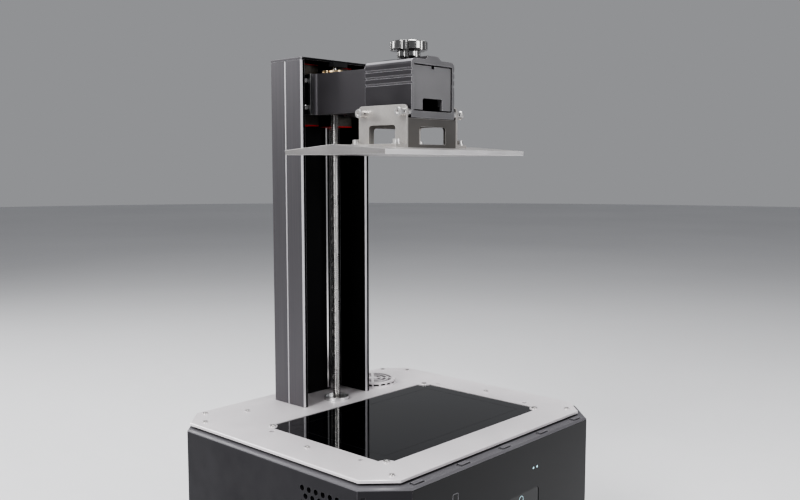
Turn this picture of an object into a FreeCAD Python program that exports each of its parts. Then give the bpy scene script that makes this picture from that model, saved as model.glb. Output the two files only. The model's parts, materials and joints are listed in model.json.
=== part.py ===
"""Resin printer: a light box with a screen on top, and a column that lifts a build platform.

Millimetres. Origin on the table under the middle of the base, +Z up, the front faces -Y.
"""
import FreeCAD
import Part
import math
import os

from FreeCAD import Vector

# Base
BODY_W, BODY_D = 326.0, 294.0        # outside of the base, left to right and front to back
BODY_CORNER = 31.0                   # corners of the base cut at 45 degrees
BASE_H = 178.0                       # table to the upper face of the top plate
FOOT_H = 8.0
PANEL_T = 2.5
RIM_Z = (171.2, 173.5)               # moulded rim that carries the top plate
PLATE_T = 2.8
PLATE_HALF_W = 157.5
PLATE_Y = (-136.0, 143.0)
PLATE_CORNER = 24.0
SCREEN_HALF_W = 114.2                # opening for the screen
SCREEN_Y = (-101.9, 55.0)
SCREEN_NOTCH = 9.7                   # rounded lug left standing in each corner of the opening
VAT_BOLT_X, VAT_BOLT_Y = 121.5, (-78.8, 39.2)
VAT_BOLT_R = 2.5
FRONT_Y = -BODY_D / 2
PLATE_UNDER = BASE_H - PLATE_T

# Column
COLUMN_HALF_W = 48.0
COLUMN_Y = (76.0, 124.0)
COLUMN_TOP = 533.8
COLUMN_WALL = 6.0
COLUMN_BEVEL, COVER_BEVEL = 1.8, 1.2
COLUMN_SEAM_Y = 100.3                # rear cover starts here
WEB_Y = (116.0, 120.5)
CAP_T = 2.5
RAIL_X, RAIL_W, RAIL_H = 24.0, 12.0, 8.0
RAIL_Z = (181.0, 529.0)
SCREW_Y = 79.5
SCREW_R = 4.0
SCREW_Z = (154.0, 526.0)
JOURNAL_R = 3.0                      # end of the screw in the top bearing

# Carriage and arm, drawn at the top of the travel
BLOCK_W, BLOCK_FRONT = 27.0, 91.5
BLOCK_Z = (468.0, 528.6)
SEAL_T = 1.2
CARRIAGE_PLATE_Y = (86.0, 91.5)
ARM_HALF_W = 27.0
ARM_Z = (477.5, 518.5)
ARM_Y = (-54.0, 79.5)
ARM_WALL = 4.0
END_CAP_T = 3.0
END_WINDOW_X, END_WINDOW_TOP, END_NOTCH_X = (-13.8, 14.0), 488.3, (-1.5, 2.3)
SLOT_HALF_W, SLOT_Y = 16.3, 64.0     # slot in the arm's root that clears the nut block

# Platform
KNOB_Y = -24.0
HOUSING_HALF_W = 31.0
HOUSING_Y = (-55.0, 4.0)
HOUSING_Z = (470.2, 524.0)
RIDGE_H = 3.6
BRACKET_HALF_W, BRACKET_T = 37.0, 2.6
BRACKET_Z = (442.0, 482.0)
PRINT_HALF_W, PRINT_Y, PRINT_Z = 100.4, (-88.2, 40.2), 436.0
PRINT_EDGE, PRINT_RIDGE = 4.5, 9.3   # thickness at the edges and at the ridge

# Light engine and fans
ENGINE_Y = sum(SCREEN_Y) / 2
FAN_SIZE, FAN_Z = 80.0, (13.0, 33.0)
EXHAUST_X, EXHAUST_Y, EXHAUST_SIZE, EXHAUST_Z = 76.3, 100.0, 60.0, (148.0, 163.0)


def box(x0, x1, y0, y1, z0, z1):
    return Part.makeBox(x1 - x0, y1 - y0, z1 - z0, Vector(x0, y0, z0))


def rod(x, y, z0, z1, radius):
    return Part.makeCylinder(radius, z1 - z0, Vector(x, y, z0))


def rod_x(x0, x1, y, z, radius):
    return Part.makeCylinder(radius, x1 - x0, Vector(x0, y, z), Vector(1, 0, 0))


def rod_y(x, y0, y1, z, radius):
    return Part.makeCylinder(radius, y1 - y0, Vector(x, y0, z), Vector(0, 1, 0))


def prism(points, z0, z1):
    wire = Part.makePolygon([Vector(x, y, z0) for x, y in points + points[:1]])
    return Part.Face(wire).extrude(Vector(0, 0, z1 - z0))


def prism_y(points, y0, y1):
    """Outline in X and Z, carried along Y."""
    wire = Part.makePolygon([Vector(x, y0, z) for x, z in points + points[:1]])
    return Part.Face(wire).extrude(Vector(0, y1 - y0, 0))


def octagon(half_w, y0, y1, corner, z0, z1):
    w, c = half_w, corner
    return prism([(-w + c, y0), (w - c, y0), (w, y0 + c), (w, y1 - c), (w - c, y1), (-w + c, y1),
                  (-w, y1 - c), (-w, y0 + c)], z0, z1)


def rounded(shape, direction, radius):
    """Rounds the straight edges of a prism that run along a direction."""
    edges = []
    for edge in shape.Edges:
        if len(edge.Vertexes) == 2 and isinstance(edge.Curve, (Part.Line, Part.LineSegment)):
            along = (edge.Vertexes[1].Point - edge.Vertexes[0].Point).normalize()
            if abs(abs(along.dot(direction)) - 1) < 1e-6:
                edges.append(edge)
    return shape.makeFillet(radius, edges)


def mirrored(shape):
    return shape.mirror(Vector(0, 0, 0), Vector(1, 0, 0))


def group(solids):
    return Part.makeCompound(solids)


def cap_screw(x, y, z, radius, height):
    """Head standing on z with a hexagon socket."""
    socket = [(x + radius * 0.5 * math.cos(a * math.pi / 3), y + radius * 0.5 * math.sin(a * math.pi / 3))
              for a in range(6)]
    head = rod(x, y, z, z + height, radius)
    return head.cut(prism(socket, z + height * 0.5, z + height + 1))


def body_ring(z0, z1, wall, inset=0.0):
    outer = octagon(BODY_W / 2 - inset, -BODY_D / 2 + inset, BODY_D / 2 - inset, BODY_CORNER, z0, z1)
    far = inset + wall
    inner = octagon(BODY_W / 2 - far, -BODY_D / 2 + far, BODY_D / 2 - far,
                    BODY_CORNER - wall * 0.59, z0 - 1, z1 + 1)
    return outer.cut(inner)


# ---- base shell -------------------------------------------------------------------------------

PANEL_Z = (FOOT_H, RIM_Z[0])
STRAIGHT_X = BODY_W / 2 - BODY_CORNER
STRAIGHT_Y = BODY_D / 2 - BODY_CORNER


def rubber_feet():
    feet = []
    for x in (-118, 118):
        for y in (-105, 105):
            foot = Part.makeCone(13, 15, FOOT_H, Vector(x, y, 0))
            feet.append(foot)
    return group(feet)


def bottom_cover():
    inset = PANEL_T + 0.2
    plate = octagon(BODY_W / 2 - inset, -BODY_D / 2 + inset, BODY_D / 2 - inset, BODY_CORNER - 1.5,
                    FOOT_H, FOOT_H + 3)
    for row in range(-4, 5):
        half = 34 - abs(row) * 3
        slot = rounded(box(-half, half, ENGINE_Y + row * 8 - 2, ENGINE_Y + row * 8 + 2, 0, 20),
                       Vector(0, 0, 1), 1.9)
        plate = plate.cut(slot)
    return plate


def vent_holes(columns, rows, top_z, first_y, pitch, radius):
    """Staggered round holes through a side panel, as one cutter."""
    cutters = []
    for row in range(rows):
        shift = pitch / 2 if row % 2 else 0
        for column in range(columns - (row % 2)):
            y = first_y + shift + column * pitch
            z = top_z - row * pitch * 0.75
            cutters.append(rod_x(-BODY_W / 2 - 2, -BODY_W / 2 + PANEL_T + 2, y, z, radius))
    return group(cutters)


def left_side_panel():
    keep = box(-BODY_W, -BODY_W / 2 + 12, -STRAIGHT_Y, STRAIGHT_Y, 0, BASE_H)
    panel = body_ring(*PANEL_Z, PANEL_T).common(keep)
    return panel.cut(vent_holes(7, 16, 158.0, -101.5, 8.5, 2.5))


def right_side_panel():
    panel = mirrored(left_side_panel())
    return panel.cut(box(BODY_W / 2 - 10, BODY_W / 2 + 2, -14.1, 0.1, 93.9, 100.1))


def rear_panel():
    keep = box(-STRAIGHT_X, STRAIGHT_X, BODY_D / 2 - 12, BODY_D, 0, BASE_H)
    panel = body_ring(*PANEL_Z, PANEL_T).common(keep)
    panel = panel.cut(box(-124, -76, 130, 150, 28, 56))
    for row in range(10):
        z = 60 + row * 8
        slot = rounded(box(20, 110, 130, 150, z, z + 3.6), Vector(0, 1, 0), 1.7)
        panel = panel.cut(slot)
    return panel


def front_panel():
    keep = box(-STRAIGHT_X, STRAIGHT_X, -BODY_D, FRONT_Y + 12, 0, BASE_H)
    panel = body_ring(*PANEL_Z, PANEL_T).common(keep)
    for x in LIGHT_X:
        panel = panel.cut(rod_y(x, FRONT_Y - 1, FRONT_Y + 1.0, LIGHT_Z, LIGHT_R))
    x0, x1, z0, z1 = DISPLAY
    return panel.cut(rounded(box(x0, x1, FRONT_Y - 1, FRONT_Y + 1.5, z0, z1), Vector(0, 1, 0), 3.3))


def corner_panels():
    ring = body_ring(*PANEL_Z, PANEL_T)
    panels = []
    for sx in (-1, 1):
        for sy in (-1, 1):
            x0, x1 = sorted((sx * STRAIGHT_X, sx * BODY_W))
            y0, y1 = sorted((sy * STRAIGHT_Y, sy * BODY_D))
            panel = ring.common(box(x0, x1, y0, y1, 0, BASE_H))
            if sy < 0:
                panel = panel.cut(corner_groove(sx))
            panels.append(panel)
    return group(panels)


def corner_groove(side):
    """Upright groove near the outer edge of a front corner."""
    groove = box(-2.0, 2.0, -1.4, 1.4, FOOT_H + 10, RIM_Z[0] - 5)
    groove.rotate(Vector(0, 0, 0), Vector(0, 0, 1), side * 45)
    groove.translate(Vector(side * (BODY_W / 2 - 3.2), FRONT_Y + BODY_CORNER - 3.2, 0))
    return groove


def upper_rim():
    """Ring under the top plate; its top slopes down towards the outside."""
    outer = octagon(BODY_W / 2, -BODY_D / 2, BODY_D / 2, BODY_CORNER, RIM_Z[0], RIM_Z[1])
    steep = [e for e in outer.Edges if abs(e.Vertexes[0].Z - RIM_Z[1]) < 1e-6
             and abs(e.Vertexes[-1].Z - RIM_Z[1]) < 1e-6]
    outer = outer.makeChamfer(1.6, steep)
    inner = octagon(139, -126, 134, 20, RIM_Z[0] - 1, RIM_Z[1] + 1)
    ring = outer.cut(inner)
    for x in CLIP_X:
        ring = ring.cut(box(x - 7, x + 7, -144.0, -138.0, RIM_Z[1] - 1.2, RIM_Z[1] + 1))
    return ring


CLIP_X = [-120.0, -60.0, 0.0, 60.0, 120.0]


def ledge_clips():
    """Snap tabs that hold the front edge of the rim."""
    clips = []
    for x in CLIP_X:
        clip = rounded(box(x - 5.5, x + 5.5, -143.2, -138.8, RIM_Z[1] - 1.2, RIM_Z[1] + 0.9),
                       Vector(0, 0, 1), 1.6)
        clips.append(clip)
    return group(clips)


DISPLAY = (-47.0, 47.0, 62.0, 126.0)   # left, right, bottom and top of the touch display
LIGHT_X, LIGHT_Z, LIGHT_R = (37.8, 43.8), 145.6, 1.1


def indicator_lights():
    return group([rod_y(x, FRONT_Y, FRONT_Y + 1.0, LIGHT_Z, LIGHT_R) for x in LIGHT_X])


def touch_display():
    x0, x1, z0, z1 = DISPLAY
    screen = box(x0 + 0.3, x1 - 0.3, FRONT_Y + 0.4, FRONT_Y + 1.5, z0 + 0.3, z1 - 0.3)
    return rounded(screen, Vector(0, 1, 0), 3)


def screen_outline(gap, z0, z1):
    """Rectangle of the opening with a rounded lug standing in each corner."""
    w, y0, y1 = SCREEN_HALF_W - gap, SCREEN_Y[0] + gap, SCREEN_Y[1] - gap
    shape = box(-w, w, y0, y1, z0, z1)
    for x in (-w, w):
        for y in (y0, y1):
            shape = shape.cut(rod(x, y, z0 - 1, z1 + 1, SCREEN_NOTCH))
    return shape


SCREW_SPOTS = [(129.3, 134.3), (146.5, 109.8), (95.0, 110.5), (131.0, -21.0), (131.4, -124.0)]
LUG_SPOTS = [(110.6, -98.3), (110.6, 51.4)]
GRILLE_R, GRILLE_H = 26.0, 5.5


def top_plate():
    plate = octagon(PLATE_HALF_W, PLATE_Y[0], PLATE_Y[1], PLATE_CORNER, PLATE_UNDER, BASE_H)
    top_edges = [e for e in plate.Edges if all(abs(v.Z - BASE_H) < 1e-6 for v in e.Vertexes)]
    plate = plate.makeChamfer(0.5, top_edges)
    plate = plate.cut(screen_outline(0.0, PLATE_UNDER - 1, BASE_H + 1))
    plate = plate.cut(rod(0, SCREW_Y, 0, BASE_H + 1, 9.5))
    plate = plate.cut(rod(EXHAUST_X, EXHAUST_Y, 0, BASE_H + 1, GRILLE_R))
    for sx in (-1, 1):
        for y in VAT_BOLT_Y:
            plate = plate.cut(rod(sx * VAT_BOLT_X, y, 0, BASE_H + 1, VAT_BOLT_R))
        for x, y in SCREW_SPOTS + LUG_SPOTS:
            if (sx * x, y) != (95.0, 110.5):
                plate = plate.cut(rod(sx * x, y, 0, BASE_H + 1, 1.5))
    return plate


def plate_gasket():
    y0, y1 = PLATE_Y
    outer = octagon(PLATE_HALF_W - 2.5, y0 + 2.5, y1 - 2.5, PLATE_CORNER, RIM_Z[1], PLATE_UNDER)
    return outer.cut(octagon(143, -127.0, 135, 20, RIM_Z[1] - 1, PLATE_UNDER + 1))


def plate_screws():
    screws = []
    for sx in (-1, 1):
        for x, y in SCREW_SPOTS + LUG_SPOTS:
            if (sx * x, y) != (95.0, 110.5):
                radius = 2.9 if (x, y) in LUG_SPOTS else 2.3
                stem = rod(sx * x, y, PLATE_UNDER, BASE_H, 1.5)
                screws.append(cap_screw(sx * x, y, BASE_H, radius, 1.2).fuse(stem))
    return group(screws)


def air_grille():
    """Raised round cap: ring slots between four spokes on top, upright slots around its wall."""
    x, y = EXHAUST_X, EXHAUST_Y
    top = BASE_H + GRILLE_H
    cap = rod(x, y, PLATE_UNDER, top, GRILLE_R).fuse(rod(x, y, BASE_H, BASE_H + 1.2, GRILLE_R + 1.7))
    cap = cap.cut(rod(x, y, 0, top - 1.8, GRILLE_R - 1.8))
    spokes = box(x - 30, x + 30, y - 1.3, y + 1.3, 0, top + 2)
    spokes = spokes.fuse(box(x - 1.3, x + 1.3, y - 30, y + 30, 0, top + 2))
    spokes.rotate(Vector(x, y, 0), Vector(0, 0, 1), 45)
    for inner in (6.0, 12.0, 18.0):
        slot = rod(x, y, 0, top + 2, inner + 4.2).cut(rod(x, y, -1, top + 3, inner))
        cap = cap.cut(slot.cut(spokes))
    for turn in range(20):
        window = box(x + GRILLE_R - 4, x + GRILLE_R + 2, y - 3.0, y + 3.0, BASE_H + 1.6, top - 1.9)
        window.rotate(Vector(x, y, 0), Vector(0, 0, 1), turn * 18)
        cap = cap.cut(window)
    return cap


# ---- screen and light engine ------------------------------------------------------------------

def screen_glass():
    return screen_outline(0.3, PLATE_UNDER, BASE_H - 0.6)


def lcd_panel():
    half = SCREEN_HALF_W + 5
    return box(-half, half, SCREEN_Y[0] - 5, SCREEN_Y[1] + 3.5, PLATE_UNDER - 2.6, PLATE_UNDER)


LENS_Z = (160.0, 163.0)
REFLECTOR_Z = (58.0, 159.5)


def collimating_lens():
    return box(-112, 112, SCREEN_Y[0] + 2, SCREEN_Y[1] - 1, *LENS_Z)


def rectangle_wire(half_w, half_d, z):
    pts = [Vector(x, ENGINE_Y + y, z) for x, y in
           [(-half_w, -half_d), (half_w, -half_d), (half_w, half_d), (-half_w, half_d), (-half_w, -half_d)]]
    return Part.makePolygon(pts)


def light_reflector():
    wall = 1.5
    z0, z1 = REFLECTOR_Z
    outer = Part.makeLoft([rectangle_wire(52, 38, z0), rectangle_wire(112, 76.5, z1)], True, True)
    small = rectangle_wire(52 - wall, 38 - wall, z0)
    large = rectangle_wire(112 - wall, 76.5 - wall, z1)
    inner = Part.makeLoft([small, large], True, True)
    return outer.cut(inner)


def led_board():
    board = box(-50, 50, ENGINE_Y - 36, ENGINE_Y + 36, 56, 58)
    leds = []
    for column in range(8):
        for row in range(6):
            leds.append(rod(-42 + column * 12, ENGINE_Y - 30 + row * 12, 58, 60, 2.4))
    return group([board] + leds)


def heatsink():
    block = box(-50, 50, ENGINE_Y - 38, ENGINE_Y + 38, 51, 56)
    for fin in range(17):
        x = -48 + fin * 6
        block = block.fuse(box(x - 0.9, x + 0.9, ENGINE_Y - 38, ENGINE_Y + 38, 34, 51))
    return block


def fan_frame(x, y, size, z0, z1):
    frame = rounded(box(x - size / 2, x + size / 2, y - size / 2, y + size / 2, z0, z1), Vector(0, 0, 1), 4)
    frame = frame.cut(rod(x, y, z0 - 1, z1 + 1, size * 0.47))
    spokes = []
    for turn in range(4):
        spoke = box(x, x + size * 0.48, y - 1.5, y + 1.5, z0, z0 + 2)
        spoke.rotate(Vector(x, y, 0), Vector(0, 0, 1), 45 + turn * 90)
        spokes.append(spoke)
    hub = rod(x, y, z0, z0 + 2, size * 0.17)
    frame = frame.fuse(spokes + [hub])
    for sx in (-1, 1):
        for sy in (-1, 1):
            hole = size / 2 - 4.2
            frame = frame.cut(rod(x + sx * hole, y + sy * hole, z0 - 1, z1 + 1, 1.8))
    return frame


def fan_rotor(x, y, size, z0, z1):
    rotor = rod(x, y, z0 + 2.6, z1 - 0.5, size * 0.17)
    blades = []
    for turn in range(7):
        blade = box(size * 0.15, size * 0.44, -size * 0.11, size * 0.11, -0.7, 0.7)
        blade.rotate(Vector(0, 0, 0), Vector(1, 0, 0), 33)
        blade.rotate(Vector(0, 0, 0), Vector(0, 0, 1), turn * 360 / 7)
        blade.translate(Vector(x, y, (z0 + z1) / 2 + 1))
        blades.append(blade)
    return rotor.fuse(blades)


# ---- electrics --------------------------------------------------------------------------------

def mainboard():
    board = box(62, 152, -100, 0, 18, 19.6)
    processor = box(92, 108, -66, -50, 19.6, 22)
    driver = box(120, 134, -40, -26, 19.6, 23)
    sockets = [box(70, 84, -30, -18, 19.6, 26), box(120, 148, -96, -88, 19.6, 30),
               box(66, 86, -96, -88, 19.6, 29)]
    posts = [rod(x, y, FOOT_H + 3, 18, 3) for x in (67, 147) for y in (-80, -5)]
    return group([board, processor, driver] + sockets + posts)


def power_supply():
    case = box(-138, -74, -20, 95, 13, 50).cut(box(-136.5, -75.5, -18.5, 93.5, 14.5, 48.8))
    for row in range(12):
        y = -12 + row * 8.5
        case = case.cut(rounded(box(-130, -82, y, y + 3, 48.8, 51), Vector(0, 0, 1), 1.4))
    feet = [rod(x, y, FOOT_H + 3, 13, 4) for x in (-130, -82) for y in (-12, 87)]
    coil = box(-128, -100, 10, 50, 14.5, 38)
    capacitors = [rod(-88, y, 14.5, 40, 8) for y in (10, 32, 54)]
    return group([case, coil] + capacitors + feet)


INLET_X, INLET_Z = -110.5, 42.0
ROCKER_X = -87.0


def power_inlet():
    """Inlet socket with three blades, in one bezel with the switch opening."""
    back = BODY_D / 2
    body = box(-123.8, -76.2, back - 26, back - 0.2, 28.2, 55.8)
    body = body.cut(box(INLET_X - 11, INLET_X + 11, back - 18, back + 1, INLET_Z - 8, INLET_Z + 8))
    body = body.cut(box(ROCKER_X - 6.6, ROCKER_X + 6.6, back - 12, back + 1, INLET_Z - 11.2, INLET_Z + 11.2))
    blades = []
    for dx, dz in ((-5.5, -2), (0, 2.5), (5.5, -2)):
        x, z = INLET_X + dx, INLET_Z + dz
        blades.append(box(x - 0.9, x + 0.9, back - 18, back - 4, z - 2, z + 2))
    return group([body] + blades)


ROCKER_PIVOT_Y = BODY_D / 2 - 5.0


def switch_rocker():
    """Rocker that tips about a line along X; the lower half stands out when off."""
    arch = [(ROCKER_PIVOT_Y - 3.5, -9.2), (ROCKER_PIVOT_Y + 4.2, -9.6), (ROCKER_PIVOT_Y + 2.6, 0.0),
            (ROCKER_PIVOT_Y + 1.0, 9.4), (ROCKER_PIVOT_Y - 3.5, 9.2)]
    wire = Part.makePolygon([Vector(ROCKER_X - 6, y, INLET_Z + z) for y, z in arch + arch[:1]])
    return Part.Face(wire).extrude(Vector(12, 0, 0))


def usb_port():
    x1 = BODY_W / 2
    shell = box(x1 - 15, x1 - 0.2, -14, 0, 94, 100).cut(box(x1 - 13, x1 + 1, -13.3, -0.7, 94.7, 99.3))
    tongue = box(x1 - 13, x1 - 2, -12, -2, 97.2, 98.6)
    return group([shell, tongue])


def carbon_filter():
    return rod(EXHAUST_X, EXHAUST_Y, EXHAUST_Z[1] + 0.5, PLATE_UNDER - 0.5, GRILLE_R - 1.5)


# ---- column -----------------------------------------------------------------------------------

FRAME_TOP = COLUMN_TOP - CAP_T


def column_frame():
    """U-shaped extrusion, open to the front, stepped in at the sides behind the seam."""
    w, wall, c, front = COLUMN_HALF_W, COLUMN_WALL, COLUMN_BEVEL, COLUMN_Y[0]
    left = [(-w, front + c), (-w + c, front), (-w + wall - c, front), (-w + wall, front + c),
            (-w + wall, WEB_Y[0])]
    back_left = [(-w + 2.2, WEB_Y[1]), (-w + 2.2, COLUMN_SEAM_Y), (-w, COLUMN_SEAM_Y)]
    right = [(-x, y) for x, y in reversed(left)]
    back_right = [(-x, y) for x, y in reversed(back_left)]
    return prism(left + right + back_right + back_left, BASE_H, FRAME_TOP)


def column_rear_cover():
    w, seam = COLUMN_HALF_W, COLUMN_SEAM_Y + 0.4
    c, back = COVER_BEVEL, COLUMN_Y[1]
    left = [(-w + c, back), (-w, back - c), (-w, seam + c), (-w + c, seam), (-w + 2.0, seam),
            (-w + 2.0, WEB_Y[1] + 0.3)]
    right = [(-x, y) for x, y in reversed(left)]
    return prism(left + right, BASE_H, FRAME_TOP)


def column_top_cap():
    cap = box(-COLUMN_HALF_W, COLUMN_HALF_W, COLUMN_Y[0], COLUMN_Y[1], FRAME_TOP, COLUMN_TOP)
    return rounded(cap, Vector(0, 0, 1), 1.0)


def rail(centre_x):
    """Profile rail with a waist on both sides and counterbored holes."""
    h, w = RAIL_H, RAIL_W / 2
    y1 = WEB_Y[0]
    outline = [(-w, y1), (-w, y1 - 3), (-w + 1.2, y1 - 4.2), (-w, y1 - 5.6), (-w, y1 - h), (w, y1 - h),
               (w, y1 - 5.6), (w - 1.2, y1 - 4.2), (w, y1 - 3), (w, y1)]
    bar = prism([(centre_x + x, y) for x, y in outline], *RAIL_Z)
    for z in rail_hole_heights():
        bar = bar.cut(rod_y(centre_x, y1 - h - 1, y1 - h + 4.2, z, 3.2))
    return bar


def rail_hole_heights():
    return [RAIL_Z[0] + 12 + step * 25 for step in range(14)]


def rail_screws():
    heads = []
    for x in (-RAIL_X, RAIL_X):
        for z in rail_hole_heights():
            heads.append(rod_y(x, WEB_Y[0] - RAIL_H + 1.2, WEB_Y[0] - RAIL_H + 4.2, z, 2.75))
    return group(heads)


def z_motor():
    body = box(-21.1, 21.1, SCREW_Y - 21.1, SCREW_Y + 21.1, 86, 132)
    uprights = [e for e in body.Edges if abs(e.Vertexes[0].Z - e.Vertexes[-1].Z) > 1]
    body = body.makeChamfer(3.5, uprights).fuse(rod(0, SCREW_Y, 132, 134, 11))
    return body.cut(rod(0, SCREW_Y, 85, 140, 2.56))


def motor_bracket():
    """Shelf that hangs the motor under the top plate."""
    shelf = box(-28, 28, SCREW_Y - 21.5, SCREW_Y + 21.5, 132, 135).cut(rod(0, SCREW_Y, 130, 140, 11))
    walls = [box(x, x + 3, SCREW_Y - 16, SCREW_Y + 21.5, 135, PLATE_UNDER) for x in (-28, 25)]
    return shelf.fuse(walls)


def screw_flange():
    """Raised ring around the foot of the screw, with a shallow cup inside."""
    ring = rod(0, SCREW_Y, BASE_H, BASE_H + 3.5, 13.2).fuse(rod(0, SCREW_Y, PLATE_UNDER - 3, BASE_H, 9.3))
    ring = ring.cut(rod(0, SCREW_Y, BASE_H + 0.6, BASE_H + 5, 11.3))
    return ring.cut(rod(0, SCREW_Y, 150, BASE_H + 5, SCREW_R + 0.4))


def top_bearing():
    """Holder on the column's web and the bearing ring in it."""
    z0, z1 = SCREW_Z[1] + 0.6, FRAME_TOP
    holder = box(-9.8, 9.8, SCREW_Y - 10, WEB_Y[0], z0, z1).cut(rod(0, SCREW_Y, z0 - 1, z1 + 1, 7.5))
    bearing = rod(0, SCREW_Y, z0, z1 - 0.6, 7.5).cut(rod(0, SCREW_Y, z0 - 1, z1 + 1, JOURNAL_R + 0.05))
    return group([holder, bearing])


def limit_sensor():
    """Forked light gate low in the column."""
    return box(-41.8, -34.9, 94, 112, 190, 206).cut(box(-39.3, -36.9, 93, 106, 189, 207))


# ---- screw ------------------------------------------------------------------------------------

def lead_screw():
    journal = rod(0, SCREW_Y, SCREW_Z[1], SCREW_Z[1] + 4.4, JOURNAL_R)
    return rod(0, SCREW_Y, *SCREW_Z, SCREW_R).fuse(journal)


def shaft_coupler():
    """Clamping coupler with two screws, and the motor shaft that turns with it."""
    sleeve = rod(0, SCREW_Y, 140, 166, 10).cut(rod(0, SCREW_Y, 139, 153.5, 2.5))
    sleeve = sleeve.cut(rod(0, SCREW_Y, SCREW_Z[0], 167, SCREW_R))
    for z in (144, 161):
        sleeve = sleeve.cut(rod_x(5.5, 11, SCREW_Y, z, 1.6))
    shaft = rod(0, SCREW_Y, 88, 153.5, 2.5)
    return group([sleeve, shaft])


# ---- carriage ---------------------------------------------------------------------------------

def guide_block(centre_x):
    half = BLOCK_W / 2
    block = box(centre_x - half, centre_x + half, BLOCK_FRONT, WEB_Y[0] - 2.5, *BLOCK_Z)
    return rounded(block, Vector(0, 0, 1), 1.2).cut(rail_clearance(centre_x))


def rail_clearance(centre_x):
    half = RAIL_W / 2 + 0.3
    x0, x1 = centre_x - half, centre_x + half
    return box(x0, x1, WEB_Y[0] - RAIL_H - 0.3, WEB_Y[0], BLOCK_Z[0] - 9, BLOCK_Z[1] + 9)


def guide_end_seals():
    seals = []
    for x in (-RAIL_X, RAIL_X):
        for z in (BLOCK_Z[0] - SEAL_T, BLOCK_Z[1]):
            half = BLOCK_W / 2 - 0.3
            seal = box(x - half, x + half, BLOCK_FRONT + 0.3, WEB_Y[0] - 2.8, z, z + SEAL_T)
            seals.append(seal.cut(rail_clearance(x)))
    return group(seals)


MOUNT_T = 3.5                        # shims behind the arm's flange
BLOCK_SCREW_X, BLOCK_SCREW_Z = (-34.5, -19.0, 19.0, 34.5), (485.2, 512.0)


def carriage_plate():
    return rounded(box(-39, 39, *CARRIAGE_PLATE_Y, 478, 518), Vector(0, 1, 0), 2)


def carriage_screws():
    """Button heads that hold the plate to the guide blocks."""
    heads = []
    for x in BLOCK_SCREW_X:
        for z in BLOCK_SCREW_Z:
            head = rod_y(x, CARRIAGE_PLATE_Y[0] - 2.6, CARRIAGE_PLATE_Y[0], z, 2.65)
            outer_rim = [e for e in head.Edges if e.Closed and e.Vertexes[0].Y < CARRIAGE_PLATE_Y[0] - 1]
            head = head.makeChamfer(0.7, outer_rim)
            heads.append(head)
    return group(heads)


NUT_BLOCK_Z = (481.0, 519.5)
NUT_FLANGE_T = 4.0


def nut_block():
    block = box(-16, 16, SLOT_Y + 0.5, CARRIAGE_PLATE_Y[0], *NUT_BLOCK_Z)
    block = block.cut(rod(0, SCREW_Y, 500, 520, 7.2)).cut(rod(0, SCREW_Y, 480, 501, 6.2))
    return block.removeSplitter()


def lead_nut():
    """Flanged nut let into the top of its block."""
    top = NUT_BLOCK_Z[1]
    nut = rod(0, SCREW_Y, 501, top, 7.2).fuse(rod(0, SCREW_Y, top, top + NUT_FLANGE_T, 10))
    nut = nut.cut(box(-11, 11, CARRIAGE_PLATE_Y[0], 95, 500, 530))
    nut = nut.cut(rod(0, SCREW_Y, 495, 530, SCREW_R + 0.06))
    screws = [cap_screw(x, SCREW_Y + y, top, 1.5, 3.5) for x in (-13, 13) for y in (-2.5, 2.5)]
    return group([nut.removeSplitter()] + screws)


def cantilever_arm():
    """Box section that flares at the root, slotted where the nut block stands."""
    z0, z1 = ARM_Z
    w, y0, y1 = ARM_HALF_W, ARM_Y[0] + END_CAP_T, ARM_Y[1]
    flare, gap, gap_depth = 4.5, 0.8, 1.2
    root = y1 - gap
    neck = w + flare - gap_depth
    right = [Vector(w, y0, z0), Vector(w, root - flare, z0)]
    sweep = Part.Arc(Vector(w, root - flare, z0),
                     Vector(w + flare - flare * math.sqrt(0.5), root - flare + flare * math.sqrt(0.5), z0),
                     Vector(w + flare, root, z0)).toShape()
    edges = [Part.makeLine(right[0], right[1]), sweep,
             Part.makeLine(Vector(w + flare, root, z0), Vector(neck, root, z0)),
             Part.makeLine(Vector(neck, root, z0), Vector(neck, y1, z0)),
             Part.makeLine(Vector(neck, y1, z0), Vector(0, y1, z0)),
             Part.makeLine(Vector(0, y1, z0), Vector(0, y0, z0)),
             Part.makeLine(Vector(0, y0, z0), right[0])]
    half = Part.Face(Part.Wire(edges)).extrude(Vector(0, 0, z1 - z0))
    arm = half.fuse(mirrored(half)).removeSplitter()
    arm = arm.cut(box(-SLOT_HALF_W, SLOT_HALF_W, SLOT_Y, y1 + 1, z0 - 1, z1 + 1))
    hollow = box(-w + ARM_WALL, w - ARM_WALL, y0 - 1, SLOT_Y - ARM_WALL, z0 + ARM_WALL, z1 - ARM_WALL)
    return arm.cut(hollow).cut(box(*END_WINDOW_X, y0 - 1, y0 + 24, z0 - 1, z0 + ARM_WALL + 1))


def arm_mount_plates():
    """Bright shims between the arm's flange and the carriage."""
    plates = []
    for sx in (-1, 1):
        x0, x1 = sorted((sx * (SLOT_HALF_W + 0.2), sx * 33.0))
        plate = box(x0, x1, ARM_Y[1], ARM_Y[1] + MOUNT_T, *ARM_Z)
        x0, x1 = sorted((sx * 22.2, sx * 27.8))
        pad = box(x0, x1, ARM_Y[1] + MOUNT_T, CARRIAGE_PLATE_Y[0], ARM_Z[0] + 1, ARM_Z[1] - 1)
        plates.append(plate.fuse(pad))
    return group(plates)


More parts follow.
